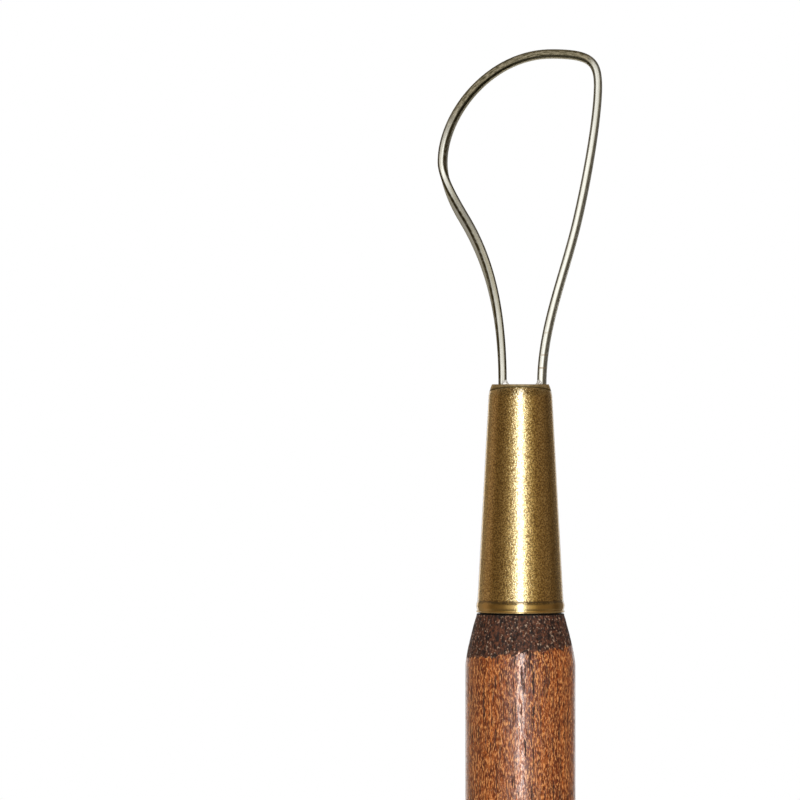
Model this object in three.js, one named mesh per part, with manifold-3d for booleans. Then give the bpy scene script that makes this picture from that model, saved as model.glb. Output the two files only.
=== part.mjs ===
// A double-ended wire tool for trimming and hollowing clay. A turned wooden handle carries a
// tapered brass ferrule on each end, and each ferrule holds a loop of flattened steel wire.
// Lengths are in millimetres. +Z runs along the handle towards the wide loop, the loops lie in
// the XZ plane, and the origin is on the handle's axis, halfway between the ferrules.
import * as THREE from "three";
import { mergeVertices } from "three/addons/utils/BufferGeometryUtils.js";
import Module from "manifold-3d";

// Handle
const handleDiameter = 9.5;
const bareWoodLength = 106.4; // from one ferrule to the other
const ledgeGap = 0.12; // the fine dark line between a ferrule and the wood
const tenonFit = 0.1; // between the tenon and the ferrule's bore, all round
const tenonChamfer = 0.4;

// Shoulders: a ledge under the ferrule, then a curve out to the handle's full diameter.
// kneeDepth is where the two ends' tangents would meet.
const wideShoulder = { ledgeDiameter: 7.56, kneeDepth: 3.4, length: 4.6 };
const narrowShoulder = { ledgeDiameter: 8.2, kneeDepth: 1.3, length: 2.8 };

// Ferrules. The two are of one kind, but each was spun to its own outline: the diameter just
// above the groove, the diameter of the smooth band at the base, and the rounding of the mouth.
// kneeInset and kneeDrop are how far inside and below the lip's own corner its curve bends.
const wideFerrule = {
  bodyDiameter: 7.42,
  rimDiameter: 7.64,
  lip: { width: 0.32, height: 1, kneeInset: 0.1, kneeDrop: 0.42 },
};
const narrowFerrule = {
  bodyDiameter: 7.66,
  rimDiameter: 7.94,
  lip: { width: 0.55, height: 0.9, kneeInset: 0.12, kneeDrop: 0.15 },
};
const ferruleLength = 19.7;
const ferruleWall = 0.35; // at the base
const rimHeight = 0.9;
const rimFlare = 0.05; // how far the band widens towards the wood
const rimRounding = 0.12;
const grooveHeight = 0.25; // the turned groove above the band
const grooveDepth = 0.08;

// Wire, one stock for both loops: thickness in the loop's plane, depth from front to back
const wireThickness = 0.72;
const wireDepth = 1.4;
const wireCorner = 0.2; // the radius of its rounded corners
const wireFootHeight = 4.6; // the wire's ends stand this far above the base of the ferrule
const wireFit = 0.08; // around the wire where it passes through another piece
const footGap = 0.3; // between the wire's ends and the bottom of the saw kerf

// Adhesive that fills the mouth of each ferrule
const plugLength = 4.3;
const plugRecess = 0.25; // below the mouth
const plugFit = 0.1; // to the ferrule's bore and to the tenon's end

// Narrow loop, a long teardrop. Heights are from the mouth of the ferrule.
const narrowLegLeft = 1.7;
const narrowLegRight = 1.46;
const narrowSwellLeft = 4.16;
const narrowSwellRight = 3.36;
const narrowSwellHeight = 21.4;
const narrowCrownHeight = 27.9;
const narrowCrownShift = -0.4;
const narrowLean = { from: 9, angle: 19 }; // the crown comes forward, towards -Y

// Wide loop, a lopsided one: a long sweep on the left and a tight corner at the upper right
const wideLegLeft = 1.54;
const wideLegRight = 1.85;
const wideFlankLeft = 4.84;
const wideFlankRight = 4.95;
const wideFlankHeight = 14.27;
const wideBellyReach = 6.75;
const wideBellyHeight = 19.2;
const wideCornerReach = 6.71;
const wideCornerHeight = 25.25;
const wideCrownHeight = 28.62;
const wideCrownShift = 2.7;
const wideLean = { from: 12, angle: -6 }; // the crown goes back, towards +Y

// Smoothness of the curved surfaces
const roundSegments = 48;
const shoulderSteps = 8;
const lipSteps = 5;
const cornerSteps = 1; // on each rounded corner of the wire, where a step makes two facets
const bendSteps = 12;

// A wire loop is a chain of bends, from the left leg over the crown to the right leg. heading is
// the wire's direction there, in degrees from straight up towards +X. before and after say how
// firmly the curve keeps to that direction on each side. twist turns the outer face forward.
const narrowBends = [
  { x: -narrowLegLeft, z: 0, heading: 0, after: 6.6, twist: 2 },
  { x: -narrowSwellLeft, z: narrowSwellHeight, heading: -1, before: 7.7, after: 3.9, twist: 0 },
  { x: narrowCrownShift, z: narrowCrownHeight, heading: 89, before: 2.75, after: 2.95, twist: 0 },
  { x: narrowSwellRight, z: narrowSwellHeight, heading: 181, before: 3.6, after: 7.7, twist: 0 },
  { x: narrowLegRight, z: 0, heading: 180, before: 6.4, twist: 4 },
];
const wideBends = [
  { x: -wideLegLeft, z: 0, heading: 0, after: 6.1, twist: 0 },
  { x: -wideFlankLeft, z: wideFlankHeight, heading: -31, before: 4.4, after: 2.7, twist: 20 },
  { x: -wideBellyReach, z: wideBellyHeight, heading: 0, before: 1.05, after: 4.15, twist: -6 },
  { x: wideCrownShift, z: wideCrownHeight, heading: 90, before: 5.3, after: 3.6, twist: 0 },
  { x: wideCornerReach, z: wideCornerHeight, heading: 182.5, before: 2.7, after: 2.5, twist: 3 },
  { x: wideFlankRight, z: wideFlankHeight, heading: 193, before: 4.2, after: 5.1, twist: 9 },
  { x: wideLegRight, z: 0, heading: 180, before: 4.95, twist: 10 },
];

const wideEnd = {
  name: "wide_end",
  shoulder: wideShoulder,
  ferrule: wideFerrule,
  bends: wideBends,
  lean: wideLean,
};
const narrowEnd = {
  name: "narrow_end",
  shoulder: narrowShoulder,
  ferrule: narrowFerrule,
  bends: narrowBends,
  lean: narrowLean,
};

const materials = {
  wood: new THREE.MeshStandardMaterial({ color: 0x8f5631, roughness: 0.5, metalness: 0 }),
  brass: new THREE.MeshStandardMaterial({ color: 0xb09447, roughness: 0.38, metalness: 1 }),
  steel: new THREE.MeshStandardMaterial({ color: 0xb9b8ae, roughness: 0.2, metalness: 1 }),
  adhesive: new THREE.MeshStandardMaterial({ color: 0x9b9589, roughness: 0.35, metalness: 0 }),
};

// Where an end's left and right leg leave the ferrule. The wire runs up the left leg and down the
// right one, so a twist turns the two about +Z in opposite ways.
function legs(end) {
  const [first, last] = [end.bends[0], end.bends[end.bends.length - 1]];
  return [
    { x: first.x, turn: THREE.MathUtils.degToRad(first.twist) },
    { x: last.x, turn: -THREE.MathUtils.degToRad(last.twist) },
  ];
}

// How far the corners of a leg stand from the ferrule's axis
function legReach({ x, turn }) {
  const outward = wireThickness / 2 - wireCorner;
  const aside = wireDepth / 2 - wireCorner;
  const corner = new THREE.Vector2(outward, aside).rotateAround(new THREE.Vector2(), -Math.abs(turn));
  return Math.hypot(Math.abs(x) + corner.x, corner.y) + wireCorner;
}

function mouthRadius(end) {
  return Math.max(...legs(end).map(legReach)) + wireFit;
}

function baseBoreRadius(end) {
  return end.ferrule.bodyDiameter / 2 - ferruleWall;
}

// Heights along a ferrule are measured from the wood's ledge, up towards its own loop.
function boreRadiusAt(height, end) {
  const share = (height - ledgeGap) / ferruleLength;
  return THREE.MathUtils.lerp(baseBoreRadius(end), mouthRadius(end), share);
}

const tenonLength = ferruleLength - plugRecess - plugLength - plugFit;

const wasm = await Module();
wasm.setup();

function toSolid(geometry) {
  const bare = new THREE.BufferGeometry();
  bare.setAttribute("position", geometry.getAttribute("position"));
  bare.setIndex(geometry.index);
  const merged = mergeVertices(bare);
  const vertProperties = merged.getAttribute("position").array;
  const triVerts = new Uint32Array(merged.index.array);
  return new wasm.Manifold(new wasm.Mesh({ numProp: 3, vertProperties, triVerts }));
}

function subtract(geometry, cutters) {
  let solid = toSolid(geometry);
  for (const cutter of cutters) solid = solid.subtract(toSolid(cutter));
  const mesh = solid.getMesh();
  const result = new THREE.BufferGeometry();
  result.setAttribute("position", new THREE.BufferAttribute(mesh.vertProperties, 3));
  result.setIndex(new THREE.BufferAttribute(mesh.triVerts, 1));
  return result;
}

// Turns a profile of (radius, height) points about the Z axis. It runs up the outside.
function turned(profile) {
  return new THREE.LatheGeometry(profile, roundSegments).rotateX(Math.PI / 2);
}

function point(radius, height) {
  return new THREE.Vector2(radius, height);
}

// One end of the handle, from its full diameter up over the shoulder and along the tenon
function handleEndProfile(end) {
  const { ledgeDiameter, kneeDepth, length } = end.shoulder;
  const handleRadius = handleDiameter / 2;
  const curve = new THREE.QuadraticBezierCurve(
    point(handleRadius, -length),
    point(handleRadius, -kneeDepth),
    point(ledgeDiameter / 2, 0),
  );
  const tenonRadiusAt = (height) => boreRadiusAt(height, end) - tenonFit;
  return [
    ...curve.getPoints(shoulderSteps),
    point(tenonRadiusAt(0), 0),
    point(tenonRadiusAt(tenonLength - tenonChamfer), tenonLength - tenonChamfer),
    point(tenonRadiusAt(tenonLength) - tenonChamfer, tenonLength),
    point(0, tenonLength),
  ];
}

// The saw kerf in a tenon that takes both legs of the wire
function kerf(direction) {
  const floor = wireFootHeight - footGap;
  const height = tenonLength - floor;
  const overrun = 1;
  const middle = bareWoodLength / 2 + floor + (height + overrun) / 2;
  const box = new THREE.BoxGeometry(handleDiameter, wireDepth + 2 * wireFit, height + overrun);
  return box.translate(0, 0, direction * middle);
}

function handleGeometry() {
  const half = bareWoodLength / 2;
  const up = handleEndProfile(wideEnd).map((p) => point(p.x, p.y + half));
  const down = handleEndProfile(narrowEnd).map((p) => point(p.x, -p.y - half));
  const blank = turned([...down.reverse(), ...up]);
  return subtract(blank, [kerf(1), kerf(-1)]);
}

function ferruleGeometry(end) {
  const { bodyDiameter, rimDiameter, lip } = end.ferrule;
  const base = ledgeGap;
  const top = base + ferruleLength;
  const bodyRadius = bodyDiameter / 2;
  const rimRadius = rimDiameter / 2;
  const grooveTop = base + rimHeight + grooveHeight;
  const mouth = mouthRadius(end);
  const lipCurve = new THREE.QuadraticBezierCurve(
    point(mouth + lip.width, top - lip.height),
    point(mouth + lip.width - lip.kneeInset, top - lip.kneeDrop),
    point(mouth, top),
  );
  const profile = [
    point(baseBoreRadius(end), base),
    point(rimRadius - rimRounding, base),
    point(rimRadius, base + rimRounding),
    point(rimRadius - rimFlare, base + rimHeight - rimRounding),
    point(rimRadius - rimFlare - rimRounding, base + rimHeight),
    point(bodyRadius - grooveDepth, base + rimHeight),
    point(bodyRadius - grooveDepth, grooveTop - grooveDepth),
    point(bodyRadius, grooveTop),
    ...lipCurve.getPoints(lipSteps),
    point(baseBoreRadius(end), base),
  ];
  return turned(profile);
}

// The wire's section, a rectangle with rounded corners: x is its depth and y its thickness
function wireSection(clearance) {
  const x = wireDepth / 2 - wireCorner;
  const y = wireThickness / 2 - wireCorner;
  const radius = wireCorner + clearance;
  const quarter = Math.PI / 2;
  const section = new THREE.Shape();
  section.absarc(x, y, radius, 0, quarter);
  section.absarc(-x, y, radius, quarter, 2 * quarter);
  section.absarc(-x, -y, radius, 2 * quarter, 3 * quarter);
  section.absarc(x, -y, radius, 3 * quarter, 4 * quarter);
  return section;
}

// The wire's route, bent flat in the XZ plane first and then leaned out of it
class WireRoute extends THREE.Curve {
  constructor(bends, lean) {
    super();
    this.bends = bends;
    this.leanStart = lean.from;
    this.leanAngle = THREE.MathUtils.degToRad(lean.angle);
    this.leanHeight = Math.max(...bends.map((bend) => bend.z)) - lean.from;
    this.stretches = [];
    for (let i = 1; i < bends.length; i++) this.addStretch(bends[i - 1], bends[i]);
  }

  addStretch(start, end) {
    const from = new THREE.Vector2(start.x, start.z);
    const to = new THREE.Vector2(end.x, end.z);
    const leave = from.clone().addScaledVector(WireRoute.direction(start), start.after);
    const arrive = to.clone().addScaledVector(WireRoute.direction(end), -end.before);
    this.stretches.push(new THREE.CubicBezierCurve(from, leave, arrive, to));
  }

  static direction(bend) {
    const heading = THREE.MathUtils.degToRad(bend.heading);
    return new THREE.Vector2(Math.sin(heading), Math.cos(heading));
  }

  // Each stretch between two bends gets the same number of steps, so tight bends stay round.
  getUtoTmapping(u) {
    return u;
  }

  locate(t) {
    const place = t * this.stretches.length;
    const index = Math.min(Math.floor(place), this.stretches.length - 1);
    return { index, share: place - index };
  }

  leanAt(height) {
    const above = Math.max(height - this.leanStart, 0);
    return { above, angle: (this.leanAngle * above) / this.leanHeight };
  }

  getPoint(t, target = new THREE.Vector3()) {
    const { index, share } = this.locate(t);
    const flat = this.stretches[index].getPoint(share);
    const { above, angle } = this.leanAt(flat.y);
    if (angle === 0) return target.set(flat.x, 0, flat.y);
    const radius = above / angle;
    const forward = radius * (1 - Math.cos(angle));
    return target.set(flat.x, -forward, this.leanStart + radius * Math.sin(angle));
  }

  twistAt(index, share) {
    const from = this.bends[index].twist;
    const to = this.bends[index + 1].twist;
    const eased = THREE.MathUtils.smoothstep(share, 0, 1);
    return THREE.MathUtils.degToRad(THREE.MathUtils.lerp(from, to, eased));
  }

  // Normals point along the wire's depth and binormals along its thickness.
  computeFrenetFrames(steps) {
    const frames = { tangents: [], normals: [], binormals: [] };
    for (let i = 0; i <= steps; i++) {
      const { index, share } = this.locate(i / steps);
      const tangent = this.getTangent(i / steps);
      const { angle } = this.leanAt(this.stretches[index].getPoint(share).y);
      const depth = new THREE.Vector3(0, Math.cos(angle), Math.sin(angle));
      depth.applyAxisAngle(tangent, this.twistAt(index, share));
      frames.tangents.push(tangent);
      frames.normals.push(depth);
      frames.binormals.push(new THREE.Vector3().crossVectors(tangent, depth));
    }
    return frames;
  }
}

function wireGeometry(end) {
  const legLength = ferruleLength - wireFootHeight;
  const straight = legLength / 3;
  const first = end.bends[0];
  const last = end.bends[end.bends.length - 1];
  const route = new WireRoute(
    [
      { ...first, z: -legLength, after: straight },
      { ...first, before: straight },
      ...end.bends.slice(1, -1),
      { ...last, after: straight },
      { ...last, z: -legLength, before: straight },
    ],
    end.lean,
  );
  return new THREE.ExtrudeGeometry(wireSection(0), {
    steps: bendSteps * route.stretches.length,
    curveSegments: cornerSteps,
    extrudePath: route,
  });
}

// The cured adhesive, with a passage for each leg
function plugGeometry(end) {
  const bottom = ledgeGap + ferruleLength - plugRecess - plugLength;
  const top = bottom + plugLength;
  const overrun = 1;
  const blank = turned([
    point(0, bottom),
    point(boreRadiusAt(bottom, end) - plugFit, bottom),
    point(boreRadiusAt(top, end) - plugFit, top),
    point(0, top),
  ]);
  const passages = legs(end).map(({ x, turn }) =>
    new THREE.ExtrudeGeometry(wireSection(wireFit), {
      depth: plugLength + 2 * overrun,
      curveSegments: cornerSteps,
      bevelEnabled: false,
    })
      .rotateZ(Math.PI / 2 + turn)
      .translate(x, 0, bottom - overrun),
  );
  return subtract(blank, passages);
}

function piece(name, geometry, material) {
  geometry.computeVertexNormals();
  const mesh = new THREE.Mesh(geometry, material);
  mesh.name = name;
  return mesh;
}

// One end of the tool, standing on the handle's ledge with its loop upwards
function toolEnd(end) {
  const group = new THREE.Group();
  const wire = piece(`wire_loop_${end.name}`, wireGeometry(end), materials.steel);
  wire.position.z = ledgeGap + ferruleLength;
  group.add(piece(`ferrule_${end.name}`, ferruleGeometry(end), materials.brass));
  group.add(piece(`adhesive_plug_${end.name}`, plugGeometry(end), materials.adhesive));
  group.add(wire);
  return group;
}

const tool = new THREE.Group();
tool.add(piece("handle", handleGeometry(), materials.wood));

const upper = toolEnd(wideEnd);
upper.position.z = bareWoodLength / 2;
tool.add(upper);

// The narrow end points down, turned over in the plane of the loops.
const lower = toolEnd(narrowEnd);
lower.position.z = -bareWoodLength / 2;
lower.rotation.y = Math.PI;
tool.add(lower);

export default tool;
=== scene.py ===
import math

import bpy
import numpy as np
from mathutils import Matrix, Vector, noise


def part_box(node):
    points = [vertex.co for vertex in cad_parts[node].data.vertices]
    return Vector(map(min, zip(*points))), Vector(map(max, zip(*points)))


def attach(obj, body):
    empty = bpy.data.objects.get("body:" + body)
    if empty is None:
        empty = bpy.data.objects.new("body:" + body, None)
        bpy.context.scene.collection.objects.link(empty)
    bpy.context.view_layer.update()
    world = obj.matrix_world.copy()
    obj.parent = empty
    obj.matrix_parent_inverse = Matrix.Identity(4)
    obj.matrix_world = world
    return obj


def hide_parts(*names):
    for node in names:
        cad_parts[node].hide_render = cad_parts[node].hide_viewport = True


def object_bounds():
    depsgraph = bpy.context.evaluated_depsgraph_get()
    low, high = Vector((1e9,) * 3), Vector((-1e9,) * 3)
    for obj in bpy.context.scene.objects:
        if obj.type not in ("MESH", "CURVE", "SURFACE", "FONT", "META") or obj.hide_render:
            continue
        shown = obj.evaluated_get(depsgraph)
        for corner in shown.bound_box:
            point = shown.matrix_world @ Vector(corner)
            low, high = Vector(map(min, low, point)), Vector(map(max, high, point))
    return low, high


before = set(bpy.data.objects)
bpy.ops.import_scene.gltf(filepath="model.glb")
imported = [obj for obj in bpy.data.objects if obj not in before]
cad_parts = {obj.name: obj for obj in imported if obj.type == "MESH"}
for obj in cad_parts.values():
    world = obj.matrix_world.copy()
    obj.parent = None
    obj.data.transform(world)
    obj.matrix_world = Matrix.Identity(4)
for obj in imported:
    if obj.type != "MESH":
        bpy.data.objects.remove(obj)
cad_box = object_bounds()

# The camera faces the flat side of the wide loop, level with the mouth of its ferrule, where the
# photograph has it. The frame is as wide as the photograph's 800 pixels are at the tool's axis.
mm = 0.001
photo_pixels = 800
photo_pixel = 0.0864 * mm
axis_column = 520.4
mouth_row = 384.3
camera_distance = 500 * mm


def new_object(name, data):
    """Puts an object with this mesh, lamp or camera in the scene."""
    new = bpy.data.objects.new(name, data)
    bpy.context.scene.collection.objects.link(new)
    return new


mouth_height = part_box("ferrule_wide_end")[1].z
camera_data = bpy.data.cameras.new("camera")
camera_data.lens = camera_data.sensor_width * camera_distance / (photo_pixels * photo_pixel)
camera = new_object("camera", camera_data)
camera.location = (
    (photo_pixels / 2 - axis_column) * photo_pixel,
    -camera_distance,
    mouth_height + (mouth_row - photo_pixels / 2) * photo_pixel,
)
camera.rotation_euler = (math.radians(90), 0, 0)
bpy.context.scene.camera = camera


# The handle is one piece of red-brown hardwood with dark pores, turned and thinly varnished. Each
# end has a shoulder that was stained dark and left rough, and a tenon inside the ferrule, sawn
# through for the wire.
def new_mesh(name, points, faces):
    mesh = bpy.data.meshes.new(name)
    mesh.from_pydata(points, [], faces)
    return mesh


def turned_mesh(name, profile, segments):
    """Turns (radius, height) points about Z. A radius of 0 closes the end at the axis, and a profile
    without one closes on itself."""
    points, rings = [], []
    for radius, height in profile:
        count = 1 if radius == 0 else segments
        rings.append(range(len(points), len(points) + count))
        for k in range(count):
            angle = 2 * math.pi * k / segments
            points.append((radius * math.cos(angle), radius * math.sin(angle), height))
    pairs = list(zip(rings, rings[1:]))
    if profile[0][0] != 0:
        pairs.append((rings[-1], rings[0]))
    faces = []
    for lower, upper in pairs:
        for k in range(segments):
            after = (k + 1) % segments
            corners = [lower[k % len(lower)], lower[after % len(lower)]]
            corners += [upper[after % len(upper)], upper[k % len(upper)]]
            faces.append(list(dict.fromkeys(corners)))
    return new_mesh(name, points, faces)


def finish_piece(name, mesh, material, node, crease=35):
    """Shades a mesh smooth up to a crease angle and makes it the piece that stands for a node."""
    mesh.materials.append(material)
    mesh.polygons.foreach_set("use_smooth", [True] * len(mesh.polygons))
    mesh.set_sharp_from_angle(angle=math.radians(crease))
    piece = new_object(name, mesh)
    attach(piece, "root")
    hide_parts(node)
    return piece


def curve_points(start, knee, end, steps):
    """Points on a quadratic curve, with both ends."""
    shares = [k / steps for k in range(steps + 1)]
    start, knee, end = Vector(start), Vector(knee), Vector(end)
    return [start * (1 - s) ** 2 + knee * 2 * s * (1 - s) + end * s * s for s in shares]


ends = {"wide_end": 1, "narrow_end": -1}
round_segments = 192
shoulder_steps = 44
bare_row_step = 1.0 * mm
bare_row_count = 95
ferrule_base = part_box("ferrule_wide_end")[0].z
ferrule_length = mouth_height - ferrule_base
handle_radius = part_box("handle")[1].x
tenon_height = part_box("handle")[1].z
ledge_gap = 0.12 * mm
ledge_height = ferrule_base - ledge_gap
ledge_inset = 0.05 * mm
ledge_rounding = 0.012 * mm
base_bore = {"wide_end": 3.36 * mm, "narrow_end": 3.48 * mm}
mouth_radius = {"wide_end": 2.43 * mm, "narrow_end": 2.235 * mm}
tenon_fit = 0.1 * mm
tenon_chamfer = 0.4 * mm
kerf_width = 1.56 * mm
kerf_floor = ferrule_base + 4.18 * mm
saw_overrun = 1.0 * mm
shoulders = {
    "wide_end": {"ledge": 3.78 * mm, "knee": 3.4 * mm, "length": 4.6 * mm},
    "narrow_end": {"ledge": 4.1 * mm, "knee": 1.3 * mm, "length": 2.8 * mm},
}


def handle_end(end):
    """One end's profile, from the plain handle out to the tip of the tenon."""
    shoulder = shoulders[end]
    curve = curve_points(
        (handle_radius, ledge_height - shoulder["length"]),
        (handle_radius, ledge_height - shoulder["knee"]),
        (shoulder["ledge"], ledge_height),
        shoulder_steps,
    )
    narrowing = (base_bore[end] - mouth_radius[end]) / ferrule_length
    tenon_foot = base_bore[end] - tenon_fit
    tenon_tip = tenon_foot - narrowing * (tenon_height - ferrule_base)
    return [
        *[(point.x, point.y) for point in curve],
        (shoulder["ledge"] - ledge_inset, ledge_height + ledge_rounding),
        (tenon_foot, ledge_height + ledge_rounding),
        (tenon_tip, tenon_height - tenon_chamfer),
        (tenon_tip - tenon_chamfer, tenon_height),
        (0, tenon_height),
    ]


bare_top = ledge_height - shoulders["wide_end"]["length"]
bare_rows = [(handle_radius, bare_top - bare_row_step * k) for k in range(1, bare_row_count + 1)]
upper_rows = handle_end("wide_end")
lower_rows = [(radius, -height) for radius, height in handle_end("narrow_end")]
handle_profile = lower_rows[::-1] + bare_rows[::-1] + upper_rows
handle_mesh = turned_mesh("handle_wood", handle_profile, round_segments)

# The cutter left the shoulders rough, and rougher towards the ferrule.
shoulder_roughness = 0.022 * mm
coarse_bumps = 0.55 * mm
fine_bumps = 0.22 * mm
for vertex in handle_mesh.vertices:
    shoulder = shoulders["wide_end" if vertex.co.z > 0 else "narrow_end"]
    across = math.hypot(vertex.co.x, vertex.co.y)
    below = ledge_height - abs(vertex.co.z)
    if 0 <= below < shoulder["length"]:
        fade = min(1, 1.4 * (1 - below / shoulder["length"]))
        coarse = noise.noise(vertex.co / coarse_bumps)
        fine = noise.noise(vertex.co / fine_bumps)
        depth = shoulder_roughness * fade * (1 + 0.6 * coarse + 0.9 * fine)
        inward = (across - depth) / across
        vertex.co *= Vector((inward, inward, 1))

# The saw is two boxes, one through each tenon down to the floor of its kerf.
kerf_points = []
kerf_faces = []
for direction in ends.values():
    first = len(kerf_points)
    for z in (kerf_floor, tenon_height + saw_overrun):
        for x, y in ((-1, -1), (1, -1), (1, 1), (-1, 1)):
            kerf_points.append((x * handle_radius, y * kerf_width / 2, direction * z))
    sides = [(k, (k + 1) % 4, 4 + (k + 1) % 4, 4 + k) for k in range(4)]
    for face in [(3, 2, 1, 0), (4, 5, 6, 7), *sides]:
        corners = [first + corner for corner in face]
        kerf_faces.append(corners[::direction])
kerf_saw = new_object("kerf_saw", new_mesh("kerf_saw", kerf_points, kerf_faces))


def join(tree, value, socket):
    """Links a socket to another, or sets it to a plain value."""
    if isinstance(value, bpy.types.NodeSocket):
        tree.links.new(value, socket)
    else:
        socket.default_value = value


def add(tree, kind, settings=None, **inputs):
    """Adds a shader node. An input that is given a socket is linked, and any other is set."""
    node = tree.nodes.new("ShaderNode" + kind)
    for key, value in (settings or {}).items():
        setattr(node, key, value)
    for key, value in inputs.items():
        join(tree, value, node.inputs[key.replace("_", " ")])
    return node


def maths(tree, operation, *values, clamp=False):
    """The result of a Math node on up to three values or sockets."""
    node = add(tree, "Math", {"operation": operation, "use_clamp": clamp})
    for socket, value in zip(node.inputs, values):
        join(tree, value, socket)
    return node.outputs[0]


def product(tree, first, *others):
    """Multiplies values or sockets."""
    result = first
    for other in others:
        result = maths(tree, "MULTIPLY", result, other)
    return result


def between(tree, value, low, high, to_low=0.0, to_high=1.0):
    """Maps a value from one range to another, with soft ends, and stays inside it."""
    node = add(tree, "MapRange", {"interpolation_type": "SMOOTHSTEP"}, Value=value)
    for key, number in zip(("From Min", "From Max", "To Min", "To Max"), (low, high, to_low, to_high)):
        join(tree, number, node.inputs[key])
    return node.outputs[0]


def by_mask(tree, mask, outside, inside):
    """Goes from one value to another as a mask goes from 0 to 1."""
    return between(tree, mask, 0, 1, outside, inside)


def scaled(tree, vector, factors):
    """Multiplies a vector by one factor for each axis."""
    node = add(tree, "VectorMath", {"operation": "MULTIPLY"})
    join(tree, vector, node.inputs[0])
    join(tree, factors, node.inputs[1])
    return node.outputs[0]


def mixed(tree, factor, first, second, mode="MIX"):
    """Two colours mixed by a factor. The node has its colours on inputs 6 and 7 and output 2."""
    node = add(tree, "Mix", {"data_type": "RGBA", "blend_type": mode})
    for index, value in ((0, factor), (6, first), (7, second)):
        join(tree, value, node.inputs[index])
    return node.outputs[2]


def colour(red, green, blue):
    return (red, green, blue, 1)


def new_group(name, inputs, outputs):
    """A shader node group, with the sockets of its input and output nodes."""
    tree = bpy.data.node_groups.new(name, "ShaderNodeTree")
    for label, kind in inputs.items():
        tree.interface.new_socket(label, in_out="INPUT", socket_type="NodeSocket" + kind)
    for label, kind in outputs.items():
        tree.interface.new_socket(label, in_out="OUTPUT", socket_type="NodeSocket" + kind)
    return tree, tree.nodes.new("NodeGroupInput").outputs, tree.nodes.new("NodeGroupOutput").inputs


# grit is a fine random grain in any of the materials: Density counts its grains per metre, Stretch
# draws them out along Z, and Contrast sharpens them.
grit, grit_in, grit_out = new_group(
    "grit",
    {"Place": "Vector", "Density": "Float", "Stretch": "Float", "Contrast": "Float"},
    {"Grain": "Float"},
)
along_density = maths(grit, "DIVIDE", grit_in["Density"], grit_in["Stretch"])
grit_scale = add(grit, "CombineXYZ", X=grit_in["Density"], Y=grit_in["Density"], Z=along_density)
grit_place = scaled(grit, grit_in["Place"], grit_scale.outputs[0])
grit_noise = add(grit, "TexNoise", Vector=grit_place, Scale=1.0, Detail=2.0, Roughness=0.6)
centred = maths(grit, "SUBTRACT", grit_noise.outputs["Fac"], 0.5)
sharpened = maths(grit, "MULTIPLY_ADD", centred, grit_in["Contrast"], 0.5, clamp=True)
join(grit, sharpened, grit_out["Grain"])


def grain(tree, place, density, stretch=1.0, contrast=2.5):
    """Places the grit group in a material."""
    values = {"Place": place, "Density": density, "Stretch": stretch, "Contrast": contrast}
    return add(tree, "Group", {"node_tree": grit}, **values).outputs["Grain"]


def new_material(name):
    """A material, with its tree, its Principled shader and its place in the object."""
    material = bpy.data.materials.new(name)
    material.use_nodes = True
    tree = material.node_tree
    shader = tree.nodes["Principled BSDF"]
    return material, tree, shader, add(tree, "TexCoord").outputs["Object"]


def bump(tree, shader, height, depth):
    """Raises a material's surface by a height of about 0 to 1, times a depth."""
    raised = add(tree, "Bump", Strength=1.0, Distance=depth, Height=height)
    join(tree, raised.outputs[0], shader.inputs["Normal"])


# Bands of paler and deeper wood run along the handle, redder towards the wide end. Fibres, short
# strokes and long dark pores lie over them, and wander a little from side to side.
wood, tree, shader, place = new_material("turned_hardwood")
spot = add(tree, "SeparateXYZ", Vector=place).outputs
wander = product(tree, grain(tree, place, 1000, 4, 1.6), 0.35 * mm)
sway = add(tree, "VectorMath", {"operation": "ADD"})
join(tree, place, sway.inputs[0])
join(tree, add(tree, "CombineXYZ", X=wander, Y=wander).outputs[0], sway.inputs[1])
swayed = sway.outputs[0]
bands = grain(tree, place, 900, 18, 3.6)
fibres = grain(tree, swayed, 6200, 8.0, 4.2)
strokes = grain(tree, swayed, 9200, 3.2, 4.0)
pore_place = scaled(tree, swayed, (4300, 4300, 260))
pore_cells = add(tree, "TexVoronoi", Vector=pore_place, Scale=1.0)
pores = between(tree, pore_cells.outputs["Distance"], 0.23, 0.33, 1.0, 0.0)
pores = product(tree, pores, between(tree, bands, 0.2, 0.8, 1.0, 0.5))
along = between(tree, spot["Z"], -70 * mm, 70 * mm)
paler = mixed(tree, along, colour(0.86, 0.345, 0.105), colour(0.54, 0.132, 0.022))
deeper = mixed(tree, along, colour(0.50, 0.135, 0.030), colour(0.24, 0.043, 0.007))
timber = mixed(tree, bands, deeper, paler)
fibre_depth = product(tree, fibres, by_mask(tree, along, 0.68, 0.84))
timber = mixed(tree, fibre_depth, timber, colour(0.125, 0.026, 0.007))
raised_strokes = between(tree, strokes, 0.58, 0.98, 0.0, 0.9)
timber = mixed(tree, raised_strokes, timber, colour(0.84, 0.345, 0.105))
sunk_strokes = between(tree, strokes, 0.04, 0.40, 1.0, 0.0)
sunk_strokes = product(tree, sunk_strokes, by_mask(tree, along, 0.6, 0.85))
timber = mixed(tree, sunk_strokes, timber, colour(0.09, 0.017, 0.006))
timber = mixed(tree, product(tree, pores, 0.95), timber, colour(0.016, 0.005, 0.003))

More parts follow.
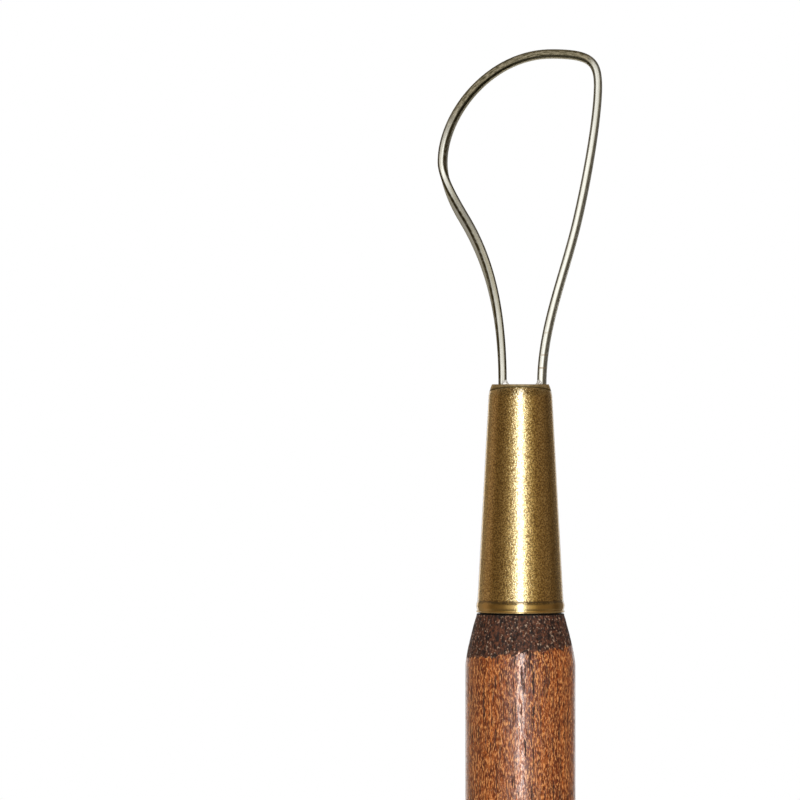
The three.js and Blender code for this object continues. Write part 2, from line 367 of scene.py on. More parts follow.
# The stain ends along a ragged, slanting line at the wide end, and fades out at the narrow one.
stain_edges = (
    {"direction": 1, "depth": 3.25 * mm, "fade": 0.07 * mm, "slant": 0.11},
    {"direction": -1, "depth": 2.1 * mm, "fade": 0.95 * mm, "slant": 0.02},
)
ragged = maths(tree, "MULTIPLY_ADD", grain(tree, place, 2400, 3.0, 1.6), 0.7 * mm, -0.35 * mm)
stains = []
for edge in stain_edges:
    slanted = maths(tree, "MULTIPLY_ADD", spot["X"], edge["slant"], ragged)
    past_edge = maths(tree, "MULTIPLY_ADD", spot["Z"], edge["direction"], edge["depth"] - ledge_height)
    past_edge = maths(tree, "SUBTRACT", past_edge, slanted)
    stains.append(between(tree, past_edge, -edge["fade"], edge["fade"]))
stained = maths(tree, "MAXIMUM", *stains)
fuzz = grain(tree, place, 3600, 1.6, 3.8)
specks = grain(tree, place, 5600, 1.3, 2.9)
stain = mixed(tree, fuzz, colour(0.018, 0.006, 0.003), colour(0.150, 0.046, 0.017))
stain = mixed(tree, between(tree, specks, 0.12, 0.46, 0.85, 0.0), stain, colour(0.007, 0.003, 0.002))
# The pale specks on the stain are painted glints of its rough fibres.
stain = mixed(tree, between(tree, specks, 0.80, 1.0, 0.0, 0.85), stain, colour(0.50, 0.34, 0.23))
# A painted shadow darkens the top of the wood in the gap just under each ferrule.
past_ledge = maths(tree, "SUBTRACT", maths(tree, "ABSOLUTE", spot["Z"]), ledge_height)
seam_shadow = between(tree, past_ledge, -0.10 * mm, -0.02 * mm, 0.0, 0.9)
stain = mixed(tree, seam_shadow, stain, colour(0.004, 0.002, 0.001))
join(tree, mixed(tree, stained, timber, stain), shader.inputs["Base Color"])

# The varnish shines on the raised strokes and fibres. It is missing in the pores and on the stain.
dullness = by_mask(tree, stained, 0.3, 0.6)
join(tree, maths(tree, "MULTIPLY_ADD", pores, 0.4, dullness), shader.inputs["Roughness"])
varnish = between(tree, maths(tree, "ADD", strokes, fibres), 0.4, 1.3, 0.05, 1.0)
varnish = product(tree, varnish, by_mask(tree, pores, 1, 0.1), by_mask(tree, stained, 1, 0))
join(tree, varnish, shader.inputs["Coat Weight"])
shader.inputs["Specular IOR Level"].default_value = 0.3
shader.inputs["Coat Roughness"].default_value = 0.2
shader.inputs["Coat IOR"].default_value = 1.5
relief = maths(tree, "MULTIPLY_ADD", pores, -1.0, product(tree, fibres, 0.5))
relief = maths(tree, "MULTIPLY_ADD", strokes, by_mask(tree, stained, 0.7, 0), relief)
relief = maths(tree, "MULTIPLY_ADD", specks, by_mask(tree, stained, 0, 2.4), relief)
bump(tree, shader, relief, 0.020 * mm)

handle = finish_piece("turned_handle", handle_mesh, wood, "handle")
sawing = handle.modifiers.new("kerf", "BOOLEAN")
sawing.operation = "DIFFERENCE"
sawing.object = kerf_saw
sawing.solver = "EXACT"
depsgraph = bpy.context.evaluated_depsgraph_get()
sawn_mesh = bpy.data.meshes.new_from_object(handle.evaluated_get(depsgraph))
handle.modifiers.clear()
handle.data = sawn_mesh
bpy.data.objects.remove(kerf_saw)

# Each ferrule is a tapered brass tube, spun to shape and bead-blasted, with a rounded mouth. A
# small step parts its blasted body from a smooth bright band at the base, and it is pressed over
# the tenon and glued. The narrow end's was blasted coarser and is duller.
rim_height = 0.9 * mm
step_rise = 0.14 * mm
band_foot = 0.24 * mm
band_inset = 0.012 * mm
band_bulge = 0.06 * mm
foot_rounding = 0.08 * mm
foot_inset = 0.09 * mm
lip_edge = 0.03 * mm
lip_edge_drop = 0.02 * mm
bore_edge = 0.01 * mm
bore_edge_drop = 0.03 * mm
bore_flare = 0.02 * mm
bore_flare_drop = 0.5 * mm
wall_rows = 140
lip_rows = 20
curve_rows = 8

# The radii of the body's foot and of the band, how far the lip's curve reaches in and down, and
# how far its knee does, are in millimetres.
ferrules = {
    "wide_end": {"body": 3.71, "rim": 3.82, "lip": (0.32, 1.0), "knee": (0.10, 0.42)},
    "narrow_end": {"body": 3.83, "rim": 3.97, "lip": (0.55, 0.9), "knee": (0.20, 0.20)},
}


def arc(centre, radius, start, stop, steps):
    """Points round an arc in (radius, height), from one angle to another in degrees."""
    angles = [math.radians(start + (stop - start) * k / steps) for k in range(steps + 1)]
    return [(centre[0] + radius * math.cos(a), centre[1] + radius * math.sin(a)) for a in angles]


def ferrule_profile(end):
    """The outside from the base up over the lip, then the bore back down, from the base at 0."""
    sizes = ferrules[end]
    body, rim, mouth = sizes["body"] * mm, sizes["rim"] * mm, mouth_radius[end]
    lip_width, lip_height = (size * mm for size in sizes["lip"])
    knee_inset, knee_drop = (size * mm for size in sizes["knee"])
    lip_foot = (mouth + lip_width, ferrule_length - lip_height)
    lip = curve_points(
        lip_foot,
        (mouth + lip_width - knee_inset, ferrule_length - knee_drop),
        (mouth + lip_edge, ferrule_length - lip_edge_drop),
        lip_rows,
    )
    wall_foot = rim_height + step_rise
    shares = [k / wall_rows for k in range(1, wall_rows)]
    wall = [(body + (lip_foot[0] - body) * s, wall_foot + (lip_foot[1] - wall_foot) * s) for s in shares]
    band_middle = (rim_height + band_foot) / 2
    band_half = (rim_height - band_foot) / 2
    band = [k / curve_rows - 1 for k in range(2 * curve_rows + 1)]
    step = rim - band_inset - band_bulge - body
    step_curve = []
    for k in range(1, curve_rows + 1):
        inward = 0.5 + 0.5 * math.cos(math.pi * k / curve_rows)
        step_curve.append((body + step * inward, rim_height + step_rise * k / curve_rows))
    return [
        (base_bore[end], 0),
        (rim - foot_inset, 0),
        *arc((rim - foot_rounding, foot_rounding), foot_rounding, -80, 80, curve_rows),
        *[(rim - band_inset - band_bulge * s * s, band_middle + band_half * s) for s in band],
        *step_curve,
        *wall,
        *[(point.x, point.y) for point in lip],
        (mouth + bore_edge, ferrule_length),
        (mouth, ferrule_length - bore_edge_drop),
        (mouth + bore_flare, ferrule_length - bore_flare_drop),
    ]


# The body has painted shade in its bead pits and painted glints, over larger dents and a faint tarnish.
brass, tree, shader, place = new_material("blasted_brass")
spot = add(tree, "SeparateXYZ", Vector=place).outputs
above_base = maths(tree, "SUBTRACT", maths(tree, "ABSOLUTE", spot["Z"]), ferrule_base)
blasted = between(tree, above_base, rim_height, rim_height + step_rise)
narrow_ferrule = between(tree, spot["Z"], -mm, mm, 1.0, 0.0)
coarse_blasted = product(tree, narrow_ferrule, blasted)
beads = grain(tree, place, 8200, 1.0, 5.0)
dents = grain(tree, place, 3300, 1.0, 2.8)
tarnish = grain(tree, place, 420, 1.3, 2.2)
bright_brass = mixed(tree, tarnish, colour(0.60, 0.375, 0.115), colour(0.66, 0.43, 0.145))
# Painted shade darkens the pits between the beads, and painted glints brighten the beads.
pit_shade = between(tree, beads, 0.0, 0.5, 0.7, 0.0)
painted_glints = between(tree, beads, 0.5, 1.0, 0.0, 0.8)
blasted_brass = mixed(tree, pit_shade, bright_brass, colour(0.27, 0.155, 0.042))
blasted_brass = mixed(tree, painted_glints, blasted_brass, colour(0.99, 0.74, 0.36))
blasted_brass = mixed(tree, narrow_ferrule, blasted_brass, colour(0.66, 0.58, 0.35), "MULTIPLY")
metal = mixed(tree, blasted, bright_brass, blasted_brass)

# The brass is darker along the step, and a painted shade darkens the foot where it meets the wood.
# The lip is painted with a reflection: a dull tan above a dark line that arches up at the front and the
# back.
# The brass is darker along the step, in a ragged band.
from_step = maths(tree, "ABSOLUTE", maths(tree, "SUBTRACT", above_base, rim_height + step_rise / 2))
from_step = maths(tree, "MULTIPLY_ADD", dents, -0.2 * mm, from_step)
step_darkening = between(tree, from_step, -0.08 * mm, 0.08 * mm, 0.8, 0)
metal = mixed(tree, step_darkening, metal, colour(0.20, 0.115, 0.035))
# A painted shade darkens the foot of the ferrule, where it meets the wood.
foot_shade = between(tree, above_base, 0.01 * mm, 0.06 * mm, 0.9, 0)
metal = mixed(tree, foot_shade, metal, colour(0.03, 0.018, 0.008))
# Painted reflection on the lip: a dull tan above a dark line, which arches up at the front and the back.
arched = maths(tree, "MULTIPLY_ADD", maths(tree, "ABSOLUTE", spot["Y"]), -0.15, above_base)
on_lip = between(tree, arched, ferrule_length - 0.72 * mm, ferrule_length - 0.62 * mm)
past_line = between(tree, arched, ferrule_length - 0.60 * mm, ferrule_length - 0.46 * mm)
lip_reflection = mixed(tree, dents, colour(0.42, 0.30, 0.12), colour(0.72, 0.54, 0.27))
lip_reflection = mixed(tree, past_line, colour(0.11, 0.075, 0.022), lip_reflection)
join(tree, mixed(tree, product(tree, on_lip, 0.9), metal, lip_reflection), shader.inputs["Base Color"])
shader.inputs["Metallic"].default_value = 1.0
polish = maths(tree, "MULTIPLY_ADD", coarse_blasted, 0.13, by_mask(tree, blasted, 0.21, 0.18))
join(tree, maths(tree, "MULTIPLY_ADD", on_lip, 0.4, polish), shader.inputs["Roughness"])
pitted = maths(tree, "MULTIPLY_ADD", dents, 0.9, beads)
pitted = product(tree, pitted, by_mask(tree, blasted, 0.35, 1.0))
pitted = product(tree, pitted, by_mask(tree, coarse_blasted, 1.0, 2.2))
bump(tree, shader, pitted, 0.0065 * mm)
lacquer = product(tree, by_mask(tree, on_lip, 1, 0.1), by_mask(tree, coarse_blasted, 1, 0.3))
join(tree, lacquer, shader.inputs["Coat Weight"])
shader.inputs["Coat Roughness"].default_value = 0.16
shader.inputs["Coat IOR"].default_value = 1.5
shader.inputs["Specular Tint"].default_value = colour(0.85, 0.72, 0.50)

ferrule_pieces = []
for end, direction in ends.items():
    profile = [(radius, direction * (ferrule_base + height)) for radius, height in ferrule_profile(end)]
    mesh = turned_mesh("ferrule_" + end, profile[::direction], round_segments)
    ferrule_pieces.append(finish_piece("brass_ferrule_" + end, mesh, brass, "ferrule_" + end))

# The cured adhesive fills the mouth of each ferrule, a little below the lip. It is clear and
# slightly grey, and it creeps up the legs of the wire in small fillets.
plug_foot, plug_top = (corner.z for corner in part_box("adhesive_plug_wide_end"))
plug_fit = 0.02 * mm
plug_foot_fit = 0.08 * mm
plug_rings = 40
fillet_rise = {"wide_end": 0.64 * mm, "narrow_end": 0.3 * mm}
fillet_reach = 0.2125 * mm
fillet_narrowing = 5
fillet_outer_drop = 0.2 * mm
rim_climb = 0.1 * mm
rim_reach = 0.25 * mm
leg_places = {"wide_end": (-1.54 * mm, 1.85 * mm), "narrow_end": (-1.7 * mm, 1.46 * mm)}
half_depth = 0.7 * mm
half_thickness = 0.36 * mm

adhesive, tree, shader, place = new_material("cured_adhesive")
cloud = grain(tree, place, 1800, 1.0, 2.0)
clouded = mixed(tree, cloud, colour(0.72, 0.68, 0.61), colour(0.85, 0.82, 0.76))
join(tree, clouded, shader.inputs["Base Color"])
join(tree, by_mask(tree, cloud, 0.1, 0.24), shader.inputs["Roughness"])
shader.inputs["Transmission Weight"].default_value = 0.2
shader.inputs["IOR"].default_value = 1.5
bump(tree, shader, cloud, 0.006 * mm)

for end, direction in ends.items():
    plug_radius = mouth_radius[end] - plug_fit
    widening = (base_bore[end] - mouth_radius[end]) * (plug_top - plug_foot) / ferrule_length
    profile = [(0, plug_foot), (plug_radius + widening - plug_foot_fit, plug_foot)]
    profile += [(plug_radius * (1 - k / plug_rings), plug_top) for k in range(plug_rings)]
    profile += [(0, plug_top)]
    profile = [(radius, direction * height) for radius, height in profile]
    mesh = turned_mesh("adhesive_" + end, profile[::direction], round_segments)
    for vertex in mesh.vertices:
        if abs(abs(vertex.co.z) - plug_top) > 0.01 * mm:
            continue
        gaps = []
        for leg in leg_places[end]:
            aside = max(abs(vertex.co.x - leg * direction) - half_thickness, 0)
            apart = max(abs(vertex.co.y) - half_depth, 0)
            drop = fillet_outer_drop if abs(vertex.co.x) > abs(leg) else 0
            gaps.append(math.hypot(aside, fillet_narrowing * apart) + drop)
        climb = fillet_rise[end] * math.exp(-min(gaps) / fillet_reach)
        rim_gap = plug_radius - math.hypot(vertex.co.x, vertex.co.y)
        hold = min(1, rim_gap / rim_reach)
        vertex.co.z += direction * (climb * hold + rim_climb * (1 - hold))
    finish_piece("adhesive_fillet_" + end, mesh, adhesive, "adhesive_plug_" + end, 80)

# Each wire is one length of flattened steel wire, bent on edge to its loop, with rounded corners.
# The legs run down through the adhesive into the kerf. Its faces are drawn bright. The crown of
# the wide loop is scratched dull by use, and the narrow loop is cleaner.
section_power = 4
section_steps = 10
bend_steps = 44
corner_place = 0.37 * mm
crown_wear_start = 21.6 * mm
crown_wear_fade = 4.4 * mm


def wire_section():
    """The section's outline as (depth, thickness) points, closest together round its corners."""
    quarter = [45 * (1 - math.cos(math.pi * k / section_steps)) for k in range(section_steps)]
    turns = [math.radians(start + turn) for start in (0, 90, 180, 270) for turn in quarter]
    points = []
    for turn in turns:
        aim = (half_depth / mm * math.cos(turn), half_thickness / mm * math.sin(turn))
        length = sum(abs(v) ** (section_power / (section_power - 1)) for v in aim) ** (1 / section_power)
        u, v = (math.copysign(abs(value) ** (1 / (section_power - 1)) / length, value) for value in aim)
        points.append((u * half_depth, v * half_thickness))
    return points


# A bend is (across, up, heading, before, after, twist) in millimetres and degrees, as the wire
# runs from the left leg over the crown to the right leg. Before and after are how far the curve
# reaches along that heading on each side of the bend, and up is from the ferrule's mouth. The lean
# is where a loop starts to bow out of its plane, and by how much it does at the crown.
wires = {
    "wide_end": {
        "lean": (12, -6),
        "bends": [
            (-1.54, -15.1, 0, 5, 5.03, 0),
            (-1.54, 0, 0, 5.03, 6.1, 0),
            (-4.84, 14.27, -31, 4.4, 2.7, 20),
            (-6.72, 19.2, 0, 1.05, 4.15, -13),
            (2.7, 28.62, 90, 5.3, 3.6, 0),
            (6.71, 25.25, 182.5, 2.7, 2.5, 3),
            (4.95, 14.27, 193, 4.2, 5.1, 9),
            (1.85, 0, 180, 4.95, 5.03, 10),
            (1.85, -15.1, 180, 5.03, 5, 10),
        ],
    },
    "narrow_end": {
        "lean": (9, 19),
        "bends": [
            (-1.7, -15.1, 0, 5, 5.03, -8),
            (-1.7, 0, 0, 5.03, 6.6, -8),
            (-4.16, 21.4, -1, 7.7, 3.9, 0),
            (-0.4, 27.9, 89, 2.75, 2.95, 0),
            (3.36, 21.4, 181, 3.6, 7.7, 0),
            (1.46, 0, 180, 6.4, 5.03, 7),
            (1.46, -15.1, 180, 5.03, 5, 7),
        ],
    },
}


def wire_rings(bends, lean):
    """The wire's centre, depth and thickness directions at each step, in millimetres."""
    lean_from, lean_angle = lean[0], math.radians(lean[1])
    lean_height = max(bend[1] for bend in bends) - lean_from
    rings = []
    for start, end in zip(bends, bends[1:]):
        heading, final = math.radians(start[2]), math.radians(end[2])
        a = np.array(start[:2], float)
        b = a + np.array((math.sin(heading), math.cos(heading))) * start[4]
        d = np.array(end[:2], float)
        c = d - np.array((math.sin(final), math.cos(final))) * end[3]
        last = end is bends[-1]
        for k in range(bend_steps + 1 if last else bend_steps):
            s = k / bend_steps
            flat = a * (1 - s) ** 3 + b * 3 * s * (1 - s) ** 2 + c * 3 * s * s * (1 - s) + d * s**3
            course = (b - a) * (1 - s) ** 2 + (c - b) * 2 * s * (1 - s) + (d - c) * s * s
            above = max(flat[1] - lean_from, 0)
            angle = lean_angle * above / lean_height
            centre = Vector((flat[0], 0, flat[1]))
            if above > 0:
                radius = above / angle
                centre.y = -radius * (1 - math.cos(angle))
                centre.z = lean_from + radius * math.sin(angle)
            tangent = Vector((course[0], -course[1] * math.sin(angle), course[1] * math.cos(angle)))
            tangent.normalize()
            eased = s * s * (3 - 2 * s)
            twist = math.radians(start[5] + (end[5] - start[5]) * eased)
            depth = Vector((0, math.cos(angle), math.sin(angle)))
            side = tangent.cross(depth)
            turned_depth = depth * math.cos(twist) + side * math.sin(twist)
            rings.append((centre, turned_depth, tangent.cross(turned_depth)))
    return rings


section = wire_section()
wire_girth = sum(math.dist(*pair) for pair in zip(section, section[1:] + section[:1]))

# The map's first axis runs along the wire and its second round the section. Drawing left fine
# lines along it, and use left shorter and deeper scratches on the crown.
steel, tree, shader, place = new_material("drawn_steel")
wire_map = add(tree, "UVMap").outputs[0]
drawn = grain(tree, scaled(tree, wire_map, (0.02, 1.0, 1.0)), 14000, 1.0, 2.4)
scratches = grain(tree, scaled(tree, wire_map, (0.16, 1.0, 1.0)), 9000, 1.0, 4.0)
patches = grain(tree, place, 2600, 1.0, 3.0)
spot = add(tree, "SeparateXYZ", Vector=place).outputs
above_mouth = maths(tree, "SUBTRACT", maths(tree, "ABSOLUTE", spot["Z"]), mouth_height)
wide_loop = between(tree, spot["Z"], 0, mm)
wear_height = maths(tree, "MULTIPLY_ADD", spot["X"], -0.25, above_mouth)
worn = between(tree, wear_height, crown_wear_start, crown_wear_start + crown_wear_fade)
worn = product(tree, worn, between(tree, spot["X"], 5.7 * mm, 6.6 * mm, 1.0, 0.0))
worn = product(tree, worn, by_mask(tree, wide_loop, 0.3, 1))
bright = mixed(tree, drawn, colour(0.46, 0.455, 0.42), colour(0.64, 0.635, 0.60))
bright = mixed(tree, by_mask(tree, wide_loop, 0.5, 0), bright, colour(0.84, 0.84, 0.83))
dull = mixed(tree, scratches, colour(0.09, 0.080, 0.045), colour(0.36, 0.32, 0.23))
dull = mixed(tree, between(tree, patches, 0.4, 1.0, 0.0, 0.45), dull, colour(0.46, 0.41, 0.31))
metal = mixed(tree, worn, bright, dull)

# Painted shade: dark lines along the wire's four corners, and darker side faces. The map's second
# axis starts in the middle of a face, so folding it at a quarter of the girth gives the way to the
# nearest face's middle.
way_round = add(tree, "SeparateXYZ", Vector=wire_map).outputs["Y"]
from_face = maths(tree, "PINGPONG", way_round, wire_girth / 4)
# The wire's side faces are painted darker, as shade.
side_face_shade = between(tree, from_face, 0.4 * mm, 0.6 * mm)
metal = mixed(tree, product(tree, side_face_shade, 0.7), metal, colour(0.24, 0.23, 0.20))
# Dark lines of painted shade run along the wire's corners.
from_corner = maths(tree, "ABSOLUTE", maths(tree, "SUBTRACT", from_face, corner_place))
corner_shade = between(tree, from_corner, 0.13 * mm, 0.27 * mm, 1.0, 0.0)
corner_shade = product(tree, corner_shade, between(tree, patches, 0.0, 0.6, 0.8, 1.0))
corner_shade = product(tree, corner_shade, between(tree, spot["X"], -mm, mm, 1.0, 0.8))
corner_shade = product(tree, corner_shade, by_mask(tree, wide_loop, 0.5, 1))
# The painted corner shade is weaker on the outer side of the worn crown.
outer_side = between(tree, way_round, wire_girth * 0.49, wire_girth * 0.51, 1.0, 0.0)
corner_shade_share = maths(tree, "MULTIPLY_ADD", product(tree, worn, outer_side), -0.75, 1.0)
corner_shade_colour = mixed(tree, worn, colour(0.060, 0.050, 0.027), colour(0.03, 0.026, 0.015))
metal = mixed(tree, product(tree, corner_shade, corner_shade_share), metal, corner_shade_colour)

# The plier marks are two dark rings low on the wide loop's right leg, and a film of adhesive ends
# above them.
leg_rings = ((1.41 * mm, 0.8), (2.53 * mm, 0.8), (4.45 * mm, 0.4))
marks = 0.0
for ring_height, strength in leg_rings:
    apart = maths(tree, "ABSOLUTE", maths(tree, "SUBTRACT", above_mouth, ring_height))
    marks = maths(tree, "MAXIMUM", marks, between(tree, apart, 0.02 * mm, 0.12 * mm, strength, 0))
right_leg = product(tree, wide_loop, between(tree, spot["X"], 0, 0.5 * mm))
marks = product(tree, marks, right_leg, between(tree, patches, 0, 0.6, 0.5, 1))
join(tree, mixed(tree, marks, metal, colour(0.26, 0.205, 0.15)), shader.inputs["Base Color"])
shader.inputs["Metallic"].default_value = 1.0
shader.inputs["Specular Tint"].default_value = colour(0.35, 0.33, 0.28)
polish = maths(tree, "MULTIPLY_ADD", worn, 0.25, 0.2)
join(tree, maths(tree, "MULTIPLY_ADD", drawn, 0.06, polish), shader.inputs["Roughness"])
relief = maths(tree, "MULTIPLY_ADD", product(tree, scratches, worn), 1.6, drawn)
bump(tree, shader, relief, 0.0022 * mm)

section_size = len(section)
around = [0.0]
for first, second in zip(section, section[1:]):
    around.append(around[-1] + math.dist(first, second))
wire_pieces = []
for end, direction in ends.items():
    points = []
    lengths = []
    last_centre = None
    for centre, depth, thickness in wire_rings(wires[end]["bends"], wires[end]["lean"]):
        centre = centre * mm
        step = (centre - last_centre).length if last_centre else 0
        lengths.append((lengths[-1] if lengths else 0) + step)
        last_centre = centre
        for u, v in section:
            point = centre + depth * u + thickness * v
            points.append((point.x * direction, point.y, (point.z + mouth_height) * direction))
    faces = []
    for row in range(len(lengths) - 1):
        low, high = row * section_size, (row + 1) * section_size
        for k in range(section_size):
            after = (k + 1) % section_size
            faces.append((low + k, high + k, high + after, low + after))
    faces.append(tuple(range(section_size)))
    faces.append(tuple(range(len(points) - 1, len(points) - 1 - section_size, -1)))
    mesh = new_mesh("wire_" + end, points, faces)
    layer = mesh.uv_layers.new(name="along_the_wire")
    for polygon in mesh.polygons:
        ks = [mesh.loops[index].vertex_index % section_size for index in polygon.loop_indices]
        wraps = max(ks) - min(ks) > 1
        for index, k in zip(polygon.loop_indices, ks):
            row = mesh.loops[index].vertex_index // section_size
            layer.data[index].uv = (lengths[row], wire_girth if wraps and k == 0 else around[k])
    wire_pieces.append(finish_piece("steel_wire_" + end, mesh, steel, "wire_loop_" + end, 60))

# The stage is a white floor under the tool's lowest point, which fades into the white surround. It
# keeps the tool's shadow.
floor_gap = 0.3 * mm
floor_radius = 130 * mm
floor_rings = 24
floor_segments = 96
floor_level = cad_box[0].z - floor_gap
floor_points = [(0, 0, floor_level)]
for ring in range(1, floor_rings + 1):
    radius = floor_radius * ring / floor_rings
    for k in range(floor_segments):
        angle = 2 * math.pi * k / floor_segments
        floor_points.append((radius * math.cos(angle), radius * math.sin(angle), floor_level))
floor_faces = [(0, 1 + k, 1 + (k + 1) % floor_segments) for k in range(floor_segments)]
for ring in range(floor_rings - 1):
    inner = 1 + ring * floor_segments
    outer = inner + floor_segments
    for k in range(floor_segments):
        after = (k + 1) % floor_segments
        floor_faces.append((inner + k, outer + k, outer + after, inner + after))
floor_mesh = new_mesh("floor", floor_points, floor_faces)


def seen_rays(tree):
    """A mask of the rays by which a surface is seen: directly, mirrored or through another."""
    path = add(tree, "LightPath").outputs
    straight = maths(tree, "MAXIMUM", path["Is Camera Ray"], path["Is Transmission Ray"])
    return maths(tree, "MAXIMUM", straight, path["Is Glossy Ray"])


floor_paint, tree, shader, place = new_material("white_floor")
shader.inputs["Base Color"].default_value = colour(0.82, 0.82, 0.82)
shader.inputs["Roughness"].default_value = 0.9
seen_ray = seen_rays(tree)
distance_out = add(tree, "VectorMath", {"operation": "LENGTH"}, Vector=place).outputs["Value"]
fading = between(tree, distance_out, floor_radius * 0.35, floor_radius * 0.97)
white_floor = add(tree, "Emission", Color=colour(1, 1, 1), Strength=1.0)
lift = add(tree, "Emission", Color=colour(1, 1, 1), Strength=product(tree, seen_ray, 0.25))
lit_floor = add(tree, "AddShader")
join(tree, shader.outputs[0], lit_floor.inputs[0])
join(tree, lift.outputs[0], lit_floor.inputs[1])
whole_floor = add(tree, "MixShader", Fac=product(tree, fading, seen_ray))
join(tree, lit_floor.outputs[0], whole_floor.inputs[1])
join(tree, white_floor.outputs[0], whole_floor.inputs[2])
join(tree, whole_floor.outputs[0], tree.nodes["Material Output"].inputs["Surface"])
floor_mesh.materials.append(floor_paint)
new_object("floor", floor_mesh)

# A soft lamp and a tall strip stand by the camera, and weaker lamps light the back and the top. The
# strip is for the wood and the adhesive. The brass has a cooler one, so that its shine runs to
# white and not to yellow, and the thin wires have wide, weak softboxes of their own.
lamp_distance = 900 * mm
lamp_target = 50 * mm


def softbox(name, aim_angles, half_angles, radiance, glossy=True, diffuse=True, tint=(1, 1, 1)):
    """A lamp that faces the tool's axis. It is aimed by its azimuth, from the camera's side, and its
    elevation, and sized by half its width and height as the tool sees it, all in degrees."""
    azimuth, elevation = aim_angles
    half_width, half_height = half_angles
    lamp = bpy.data.lights.new(name, "AREA")
    lamp.shape = "RECTANGLE"
    lamp.size = 2 * lamp_distance * math.tan(math.radians(half_width))
    lamp.size_y = 2 * lamp_distance * math.tan(math.radians(half_height))
    lamp.energy = radiance * math.pi * lamp.size * lamp.size_y
    lamp.color = tint
    box = new_object(name, lamp)
    swing, rise = math.radians(azimuth), math.radians(elevation)
    aim = Vector((math.sin(swing) * math.cos(rise), -math.cos(swing) * math.cos(rise), math.sin(rise)))
    box.location = Vector((0, 0, lamp_target)) + aim * lamp_distance
    box.rotation_euler = aim.to_track_quat("Z", "Y").to_euler()
    box.visible_camera = False
    box.visible_glossy = glossy
    box.visible_diffuse = diffuse
    return box


def choose_pieces(box, pieces, state):
    """Makes a lamp include only these pieces, or exclude them."""
    chosen = bpy.data.collections.new(box.name + "_pieces")
    for piece in pieces:
        chosen.objects.link(piece)
    box.light_linking.receiver_collection = chosen
    for entry in chosen.collection_objects:
        entry.light_linking.link_state = state


softbox("front_fill", (0.5, 8), (12, 20), 5.6, glossy=False)
front_strip = softbox("front_strip", (-0.3, -4), (7.5, 38), 11, diffuse=False)
choose_pieces(front_strip, wire_pieces + ferrule_pieces, "EXCLUDE")
cool_strip = softbox("cool_strip", (-0.5, -4), (7.6, 38), 9, diffuse=False, tint=(0.5, 0.65, 1.0))
choose_pieces(cool_strip, ferrule_pieces, "INCLUDE")
wire_lamps = (
    ("wire_front", (-20, 8), (36, 30), 0.45),
    ("wire_gleam", (-15, 8), (8, 30), 0.9),
    ("wire_inner", (37, 8), (7, 30), 0.5),
    ("wire_left", (-100, 8), (18, 30), 0.5),
    ("wire_behind", (-138, 8), (18, 30), 1.0),
    ("wire_under", (176, -14), (18, 12), 5.0),
    ("wire_right", (105, 8), (30, 30), 0.6),
)
for lamp_name, aim_angles, half_angles, radiance in wire_lamps:
    wire_lamp = softbox(lamp_name, aim_angles, half_angles, radiance, diffuse=False)
    choose_pieces(wire_lamp, wire_pieces, "INCLUDE")
softbox("rear_left_softbox", (-160, 8), (7, 26), 1.2)
softbox("rear_right_softbox", (160, 8), (7, 26), 1.0)
softbox("top_lamp", (180, 72), (24, 24), 1.2, glossy=False)

# Dark walls with lighter patches stand round the tool for its reflections alone, open at the back,
# where the white surround shows. The angle is from the camera's side, towards +X.
wall_radius = 1500 * mm
back_opening = 5
wall_columns = 84
wall_rings = 40
wall_tones = [
    (-168, colour(0.10, 0.09, 0.07)),
    (-150, colour(0.20, 0.18, 0.14)),
    (-132, colour(0.29, 0.245, 0.18)),
    (-106, colour(0.37, 0.28, 0.19)),
    (-84, colour(0.145, 0.105, 0.055)),
    (-46, colour(0.22, 0.17, 0.10)),
    (-32, colour(0.60, 0.55, 0.40)),
    (-14, colour(0.84, 0.83, 0.76)),
    (14, colour(0.82, 0.79, 0.68)),
    (32, colour(0.56, 0.49, 0.29)),
    (46, colour(0.24, 0.18, 0.10)),
    (82, colour(0.21, 0.16, 0.10)),
    (108, colour(0.095, 0.07, 0.043)),
    (140, colour(0.19, 0.17, 0.15)),
    (168, colour(0.08, 0.075, 0.065)),
]
wall_points = []
for ring in range(wall_rings + 1):
    rise = math.pi * (ring / wall_rings - 0.5)
    ring_radius = wall_radius * math.cos(rise)
    level = wall_radius * math.sin(rise)
    for column in range(wall_columns + 1):
        swing = math.radians((360 - 2 * back_opening) * (column / wall_columns - 0.5))
        wall_points.append((ring_radius * math.sin(swing), -ring_radius * math.cos(swing), level))
wall_faces = []
for ring in range(wall_rings):
    for column in range(wall_columns):
        lower = ring * (wall_columns + 1) + column
        upper = lower + wall_columns + 1
        wall_faces.append((lower, lower + 1, upper + 1, upper))
wall_mesh = new_mesh("studio_walls", wall_points, wall_faces)

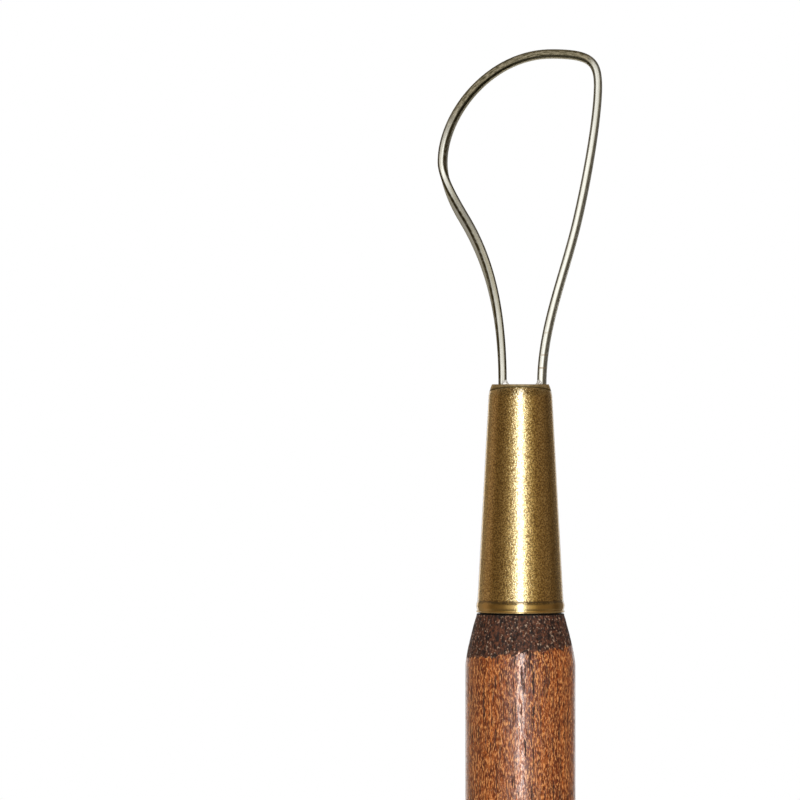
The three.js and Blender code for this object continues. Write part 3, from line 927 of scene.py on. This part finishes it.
wall_paint, tree, shader, place = new_material("studio_walls")
outward = add(tree, "VectorMath", {"operation": "NORMALIZE"}, Vector=place).outputs[0]
aim = add(tree, "SeparateXYZ", Vector=outward).outputs
towards = maths(tree, "ARCTAN2", aim["X"], product(tree, aim["Y"], -1.0))
tones = add(tree, "ValToRGB", Fac=maths(tree, "MULTIPLY_ADD", towards, 1 / (2 * math.pi), 0.5))
ramp = tones.color_ramp
ramp.interpolation = "EASE"
while len(ramp.elements) < len(wall_tones):
    ramp.elements.new(0.5)

# The ramp sorts its stops as they move, so the tones follow once all of them are in place.
for stop, (angle, tone) in zip(ramp.elements, wall_tones):
    stop.position = angle / 360 + 0.5
for stop, (angle, tone) in zip(ramp.elements, wall_tones):
    stop.color = tone
behind = between(tree, aim["Y"], -0.3, 0.3)
under = mixed(tree, behind, colour(0.10, 0.09, 0.07), colour(0.40, 0.39, 0.37))
over = mixed(tree, behind, colour(0.07, 0.06, 0.04), colour(0.26, 0.25, 0.23))
ceiling = mixed(tree, behind, colour(0.42, 0.36, 0.27), colour(0.36, 0.35, 0.33))
seen = mixed(tree, between(tree, aim["Z"], -0.6, -0.2, 1.0, 0.0), tones.outputs[0], under)
seen = mixed(tree, between(tree, aim["Z"], 0.3, 0.45), seen, over)
seen = mixed(tree, between(tree, aim["Z"], 0.5, 0.65), seen, ceiling)
glow = add(tree, "Emission", Color=seen, Strength=1.0)
join(tree, glow.outputs[0], tree.nodes["Material Output"].inputs["Surface"])
wall_paint.cycles.emission_sampling = "NONE"
wall_mesh.materials.append(wall_paint)
studio_walls = new_object("studio_walls", wall_mesh)
studio_walls.visible_camera = False
studio_walls.visible_diffuse = False
studio_walls.visible_shadow = False
studio_walls.visible_transmission = False

# The surround is white where it is seen, and a plain grey where it only lights the tool.
world = bpy.data.worlds.new("studio")
bpy.context.scene.world = world
world.use_nodes = True
world.cycles.sampling_method = "NONE"
tree = world.node_tree
studio = mixed(tree, seen_rays(tree), colour(0.46, 0.455, 0.45), colour(1, 1, 1))
join(tree, studio, tree.nodes["Background"].inputs["Color"])

bpy.context.scene.view_settings.view_transform = "Standard"
